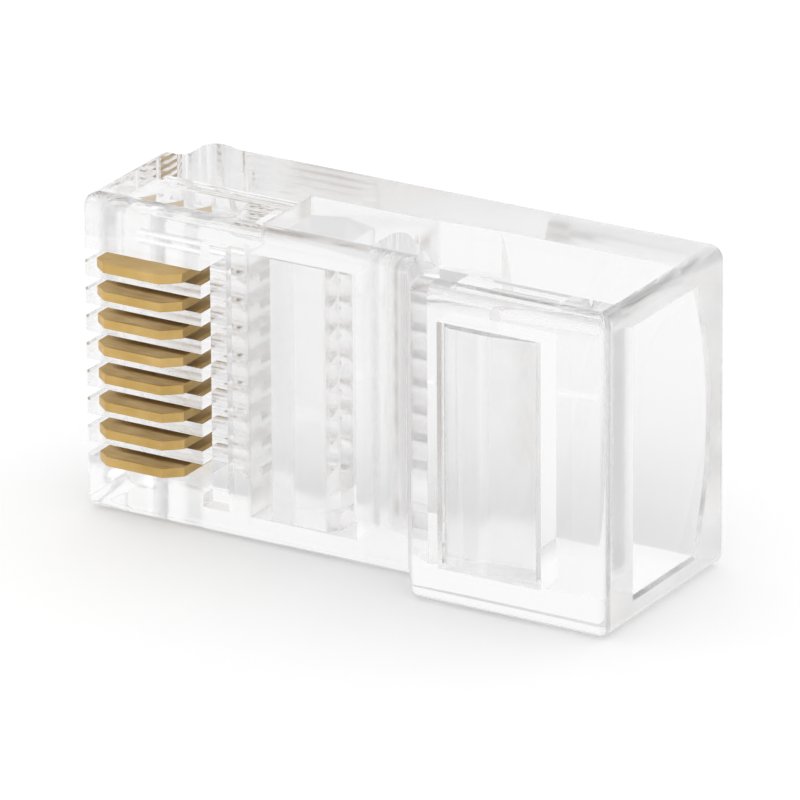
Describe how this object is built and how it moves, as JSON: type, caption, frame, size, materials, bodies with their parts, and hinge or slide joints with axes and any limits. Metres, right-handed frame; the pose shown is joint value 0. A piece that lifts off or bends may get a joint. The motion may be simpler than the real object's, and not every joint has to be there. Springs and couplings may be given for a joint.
{
  "type": "modular plug, 8-position, clear, uncrimped",
  "caption": "Clear moulded modular data plug before crimping, standing on a narrow side, with raised gold contacts, clamping bars and a sprung latch.",
  "frame": {"origin": "middle of the narrow side that the plug stands on", "axes": "+X from the nose to the cable end, -Y towards the contact side, +Y towards the latch side, +Z across the plug's width"},
  "size_m": [0.0218, 0.0121, 0.0117],
  "materials": {
    "clear_polycarbonate": "water-clear polished moulding",
    "gold_plating": "satin gold plating over stamped bronze"
  },
  "bodies": {
    "housing": {"housing": "clear_polycarbonate"},
    "latch": {"latch": "clear_polycarbonate"},
    "wire_bar": {"wire_bar": "clear_polycarbonate"},
    "cord_bar": {"cord_bar": "clear_polycarbonate"},
    "contact_1": {"contact_1": "gold_plating"},
    "contact_2": {"contact_2": "gold_plating"},
    "contact_3": {"contact_3": "gold_plating"},
    "contact_4": {"contact_4": "gold_plating"},
    "contact_5": {"contact_5": "gold_plating"},
    "contact_6": {"contact_6": "gold_plating"},
    "contact_7": {"contact_7": "gold_plating"},
    "contact_8": {"contact_8": "gold_plating"}
  },
  "joints": [
    {"name": "latch_bend", "type": "hinge", "parent": "housing", "child": "latch", "pos_m": [-0.00797, 0.00447, 0.00584], "axis": [0, 0, -1], "range_deg": [0, 9], "stiffness_Nm_per_rad": 0.002},
    {"name": "wire_bar_press", "type": "slide", "parent": "housing", "child": "wire_bar", "axis": [0, 1, 0], "range_m": [0, 0.0006]},
    {"name": "cord_bar_swing", "type": "hinge", "parent": "housing", "child": "cord_bar", "pos_m": [0.00491, -0.00342, 0.00584], "axis": [0, 0, 1], "range_deg": [0, 20]},
    {"name": "contact_1_press", "type": "slide", "parent": "housing", "child": "contact_1", "axis": [0, 1, 0], "range_m": [0, 0.0012]},
    {"name": "contact_2_press", "type": "slide", "parent": "housing", "child": "contact_2", "axis": [0, 1, 0], "range_m": [0, 0.0012]},
    {"name": "contact_3_press", "type": "slide", "parent": "housing", "child": "contact_3", "axis": [0, 1, 0], "range_m": [0, 0.0012]},
    {"name": "contact_4_press", "type": "slide", "parent": "housing", "child": "contact_4", "axis": [0, 1, 0], "range_m": [0, 0.0012]},
    {"name": "contact_5_press", "type": "slide", "parent": "housing", "child": "contact_5", "axis": [0, 1, 0], "range_m": [0, 0.0012]},
    {"name": "contact_6_press", "type": "slide", "parent": "housing", "child": "contact_6", "axis": [0, 1, 0], "range_m": [0, 0.0012]},
    {"name": "contact_7_press", "type": "slide", "parent": "housing", "child": "contact_7", "axis": [0, 1, 0], "range_m": [0, 0.0012]},
    {"name": "contact_8_press", "type": "slide", "parent": "housing", "child": "contact_8", "axis": [0, 1, 0], "range_m": [0, 0.0012]}
  ]
}
